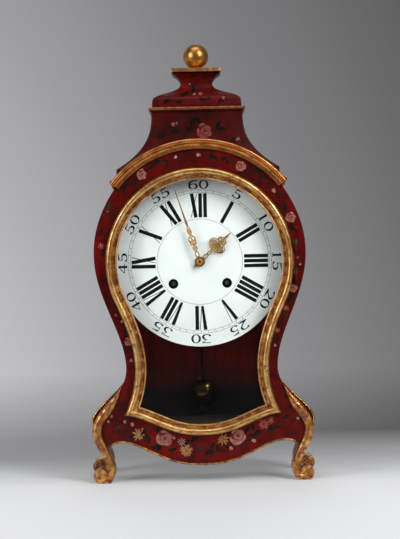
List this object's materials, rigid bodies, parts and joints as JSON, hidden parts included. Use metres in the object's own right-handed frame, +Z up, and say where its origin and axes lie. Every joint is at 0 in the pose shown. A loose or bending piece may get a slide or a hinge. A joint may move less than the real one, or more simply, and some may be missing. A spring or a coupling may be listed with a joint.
{
  "type": "bracket clock",
  "caption": "Waisted bracket clock with a lacquered case on scroll feet, glazed door, enamel dial, pendulum and spring-driven striking movement.",
  "frame": {"origin": "on the floor under the middle of the clock's bounding box", "axes": "+Z up, the dial faces -Y, +X to the viewer's right"},
  "size_m": [0.3194, 0.15, 0.6096],
  "materials": {
    "red_lacquer": "dark red lacquer with painted flowers",
    "stained_wood": "dark red stain",
    "gilt_wood": "worn gold leaf over red bole",
    "clear_glass": "clear flat glass",
    "gilt_brass": "pierced and gilded",
    "enamel": "white enamel with black numerals",
    "polished_brass": "polished",
    "blued_steel": "plain steel",
    "bell_metal": "turned"
  },
  "bodies": {
    "case": {"case_front": "red_lacquer", "case_side_left": "red_lacquer", "case_side_right": "red_lacquer", "hood": "red_lacquer", "cap_block": "red_lacquer", "case_back": "stained_wood", "case_roof": "stained_wood", "case_floor": "stained_wood", "seat_board": "stained_wood", "apron_bead": "gilt_wood", "leg_front_left": "gilt_wood", "leg_front_right": "gilt_wood", "leg_rear_left": "gilt_wood", "leg_rear_right": "gilt_wood", "arch_moulding": "gilt_wood", "hood_moulding": "gilt_wood", "cap_plate": "gilt_wood", "finial_ball": "gilt_wood", "dial": "enamel", "hinge_case_upper": "polished_brass", "hinge_case_lower": "polished_brass", "front_plate": "polished_brass", "back_plate": "polished_brass", "back_cock": "polished_brass", "bell_stand": "blued_steel", "bell": "bell_metal"},
    "door": {"door_frame": "gilt_wood", "door_glass": "clear_glass", "hinge_door_upper": "polished_brass", "hinge_door_lower": "polished_brass"},
    "minute_work": {"centre_wheel": "polished_brass", "cannon_pinion": "blued_steel", "minute_hand": "gilt_brass", "hand_collet": "polished_brass"},
    "hour_work": {"hour_wheel": "polished_brass", "hour_hand": "gilt_brass"},
    "minute_wheel": {"minute_wheel": "polished_brass"},
    "going_barrel": {"going_barrel": "polished_brass", "going_mainspring": "blued_steel"},
    "going_second_wheel": {"going_second_wheel": "polished_brass"},
    "third_wheel": {"third_wheel": "polished_brass"},
    "escape_wheel": {"escape_wheel": "polished_brass"},
    "anchor": {"anchor": "blued_steel"},
    "pendulum": {"suspension_spring": "blued_steel", "pendulum_rod": "blued_steel", "pendulum_bob": "polished_brass", "rating_nut": "polished_brass"},
    "going_winder": {"going_winding_arbor": "blued_steel", "going_ratchet": "blued_steel"},
    "going_click": {"going_click": "blued_steel"},
    "strike_winder": {"strike_winding_arbor": "blued_steel", "strike_ratchet": "blued_steel"},
    "strike_click": {"strike_click": "blued_steel"},
    "strike_barrel": {"strike_barrel": "polished_brass", "strike_mainspring": "blued_steel"},
    "strike_second_wheel": {"strike_second_wheel": "polished_brass"},
    "pin_wheel": {"pin_wheel": "polished_brass"},
    "fly": {"fly": "blued_steel"},
    "hammer": {"hammer": "blued_steel"}
  },
  "joints": [
    {"name": "door_swing", "type": "hinge", "parent": "case", "child": "door", "pos_m": [0.1317, -0.0723, 0.3016], "axis": [0, 0, 1], "range_deg": [0, 110]},
    {"name": "minute_turn", "type": "hinge", "parent": "case", "child": "minute_work", "pos_m": [0, -0.012, 0.3016], "axis": [0, 1, 0], "continuous": true},
    {"name": "hour_turn", "type": "hinge", "parent": "case", "child": "hour_work", "pos_m": [0, -0.012, 0.3016], "axis": [0, 1, 0], "continuous": true},
    {"name": "minute_wheel_turn", "type": "hinge", "parent": "case", "child": "minute_wheel", "pos_m": [0, -0.012, 0.3196], "axis": [0, 1, 0], "continuous": true},
    {"name": "going_barrel_turn", "type": "hinge", "parent": "case", "child": "going_barrel", "pos_m": [0.037, -0.012, 0.2716], "axis": [0, 1, 0], "continuous": true},
    {"name": "going_second_turn", "type": "hinge", "parent": "case", "child": "going_second_wheel", "pos_m": [0.02492, -0.012, 0.30445], "axis": [0, 1, 0], "continuous": true},
    {"name": "third_turn", "type": "hinge", "parent": "case", "child": "third_wheel", "pos_m": [-0.01482, -0.012, 0.32017], "axis": [0, 1, 0], "continuous": true},
    {"name": "escape_turn", "type": "hinge", "parent": "case", "child": "escape_wheel", "pos_m": [0, -0.012, 0.33737], "axis": [0, 1, 0], "continuous": true},
    {"name": "pendulum_swing", "type": "hinge", "parent": "case", "child": "pendulum", "pos_m": [0, -0.012, 0.36], "axis": [0, 1, 0], "range_deg": [-4, 4]},
    {"name": "anchor_rock", "type": "hinge", "parent": "case", "child": "anchor", "pos_m": [0, -0.012, 0.36], "axis": [0, 1, 0], "range_deg": [-4, 4]},
    {"name": "going_winding", "type": "hinge", "parent": "case", "child": "going_winder", "pos_m": [0.037, -0.012, 0.2716], "axis": [0, 1, 0], "range_deg": [0, 2160]},
    {"name": "going_click_lift", "type": "hinge", "parent": "case", "child": "going_click", "pos_m": [0.05133, -0.012, 0.26156], "axis": [0, 1, 0], "range_deg": [-10, 0], "stiffness_Nm_per_rad": 0.01, "springref_deg": 2.86},
    {"name": "strike_winding", "type": "hinge", "parent": "case", "child": "strike_winder", "pos_m": [-0.037, -0.012, 0.2716], "axis": [0, 1, 0], "range_deg": [0, 2160]},
    {"name": "strike_click_lift", "type": "hinge", "parent": "case", "child": "strike_click", "pos_m": [-0.05133, -0.012, 0.26156], "axis": [0, 1, 0], "range_deg": [0, 10], "stiffness_Nm_per_rad": 0.01, "springref_deg": -2.86},
    {"name": "pin_wheel_turn", "type": "hinge", "parent": "case", "child": "pin_wheel", "pos_m": [-0.04441, -0.012, 0.33117], "axis": [0, 1, 0], "continuous": true},
    {"name": "strike_second_turn", "type": "hinge", "parent": "case", "child": "strike_second_wheel", "pos_m": [-0.04005, -0.012, 0.30647], "axis": [0, 1, 0], "continuous": true},
    {"name": "strike_barrel_turn", "type": "hinge", "parent": "case", "child": "strike_barrel", "pos_m": [-0.037, -0.012, 0.2716], "axis": [0, 1, 0], "continuous": true},
    {"name": "fly_turn", "type": "hinge", "parent": "case", "child": "fly", "pos_m": [-0.03203, -0.012, 0.34591], "axis": [0, 1, 0], "continuous": true},
    {"name": "hammer_lift", "type": "hinge", "parent": "case", "child": "hammer", "pos_m": [-0.06, -0.012, 0.3466], "axis": [0, 1, 0], "range_deg": [-14, 0]}
  ],
  "couplings": [
    {"joint": "hour_turn", "follows": "minute_turn", "ratio": 0.083333},
    {"joint": "minute_wheel_turn", "follows": "minute_turn", "ratio": -0.33333},
    {"joint": "going_second_turn", "follows": "minute_turn", "ratio": -0.16667},
    {"joint": "going_barrel_turn", "follows": "minute_turn", "ratio": 0.027778},
    {"joint": "third_turn", "follows": "minute_turn", "ratio": -10},
    {"joint": "escape_turn", "follows": "minute_turn", "ratio": 123.33},
    {"joint": "anchor_rock", "follows": "pendulum_swing", "ratio": 1},
    {"joint": "strike_second_turn", "follows": "pin_wheel_turn", "ratio": -0.16667},
    {"joint": "strike_barrel_turn", "follows": "pin_wheel_turn", "ratio": 0.027778},
    {"joint": "fly_turn", "follows": "pin_wheel_turn", "ratio": -6}
  ]
}
